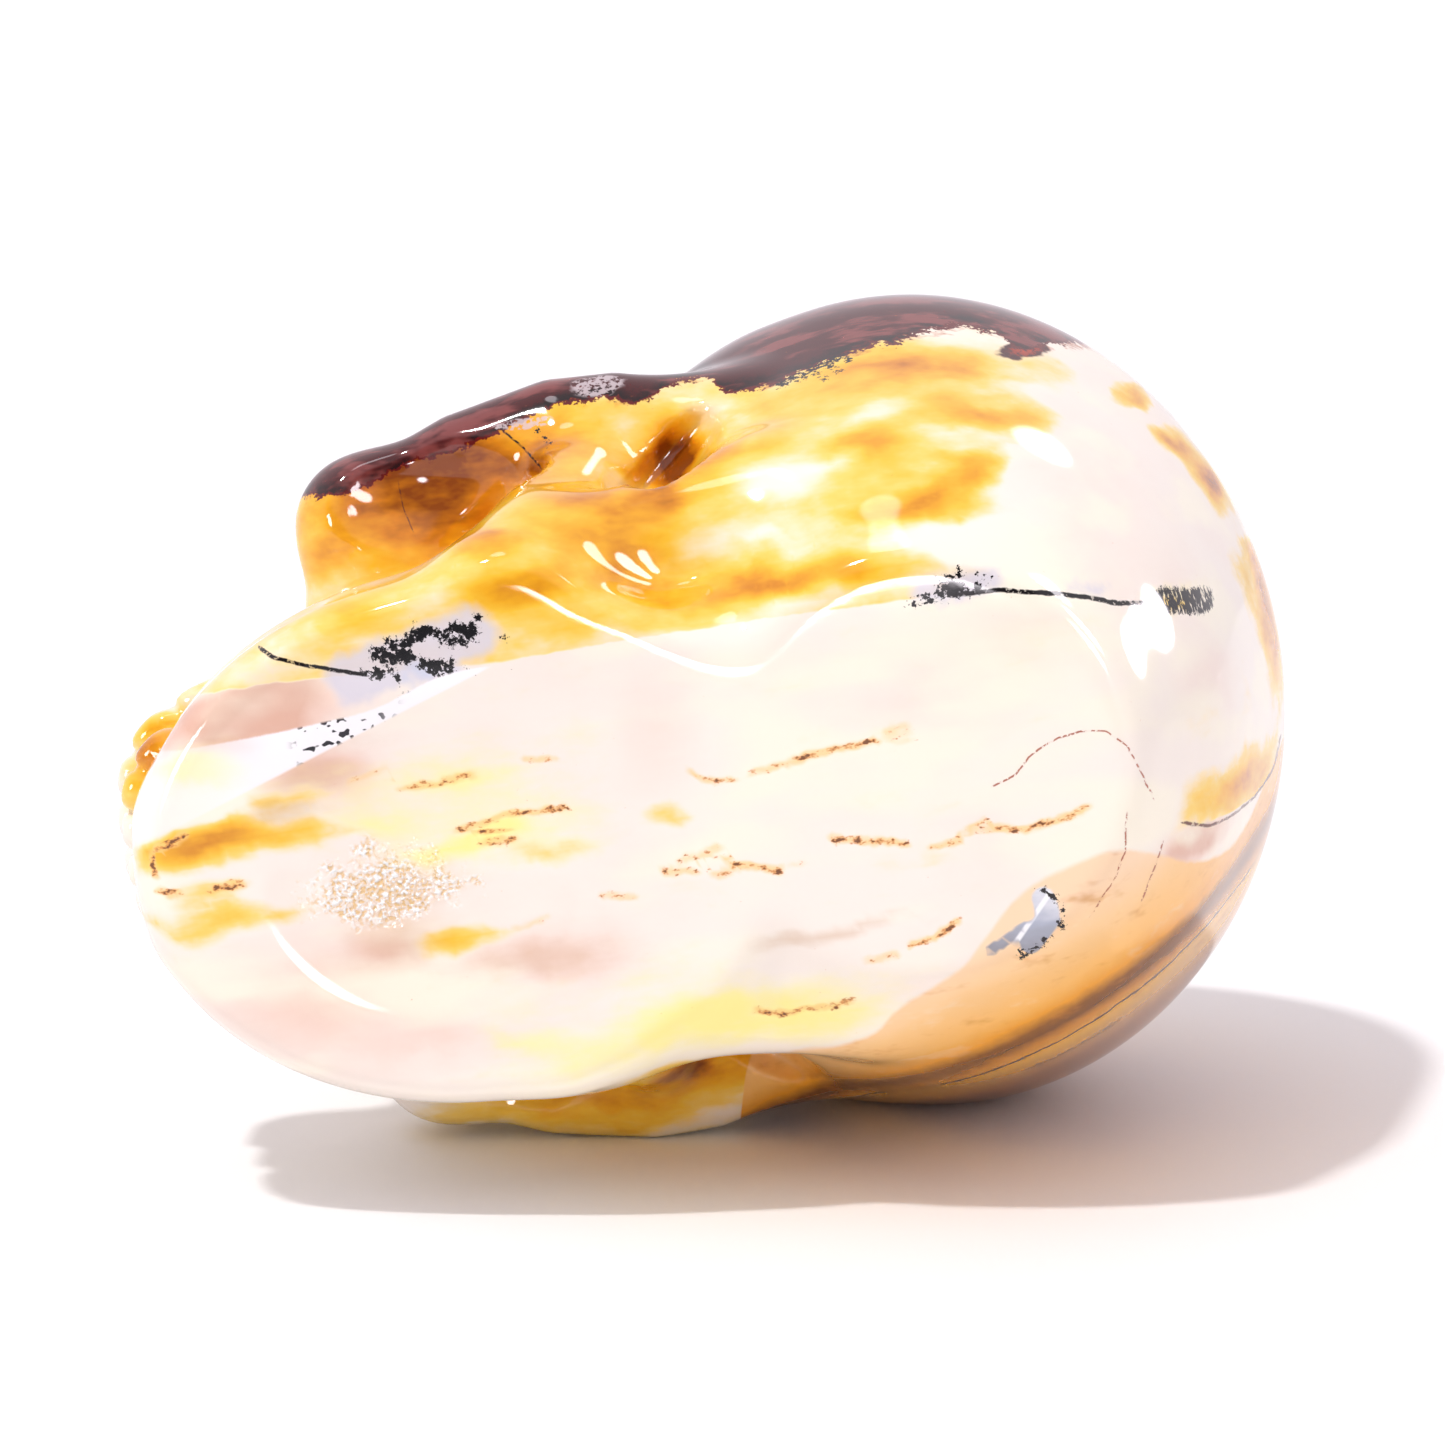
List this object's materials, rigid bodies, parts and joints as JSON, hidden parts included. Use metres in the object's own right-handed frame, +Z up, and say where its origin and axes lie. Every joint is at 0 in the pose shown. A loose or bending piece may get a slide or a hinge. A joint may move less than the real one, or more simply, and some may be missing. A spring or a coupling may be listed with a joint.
{
  "type": "polished stone skull",
  "caption": "Polished banded jasper carved as a human skull, lying on its side, with a flat ground base and a flat spot to rest on.",
  "frame": {"origin": "middle of the bounding box, on the surface that the stone rests on", "axes": "+Z up, +X from the face to the back of the head, +Y from the ground base to the crown, as the stone lies on its right side"},
  "size_m": [0.1008, 0.0782, 0.0713],
  "materials": {
    "jasper": "polished"
  },
  "bodies": {
    "root": {"skull": "jasper"}
  },
  "joints": []
}
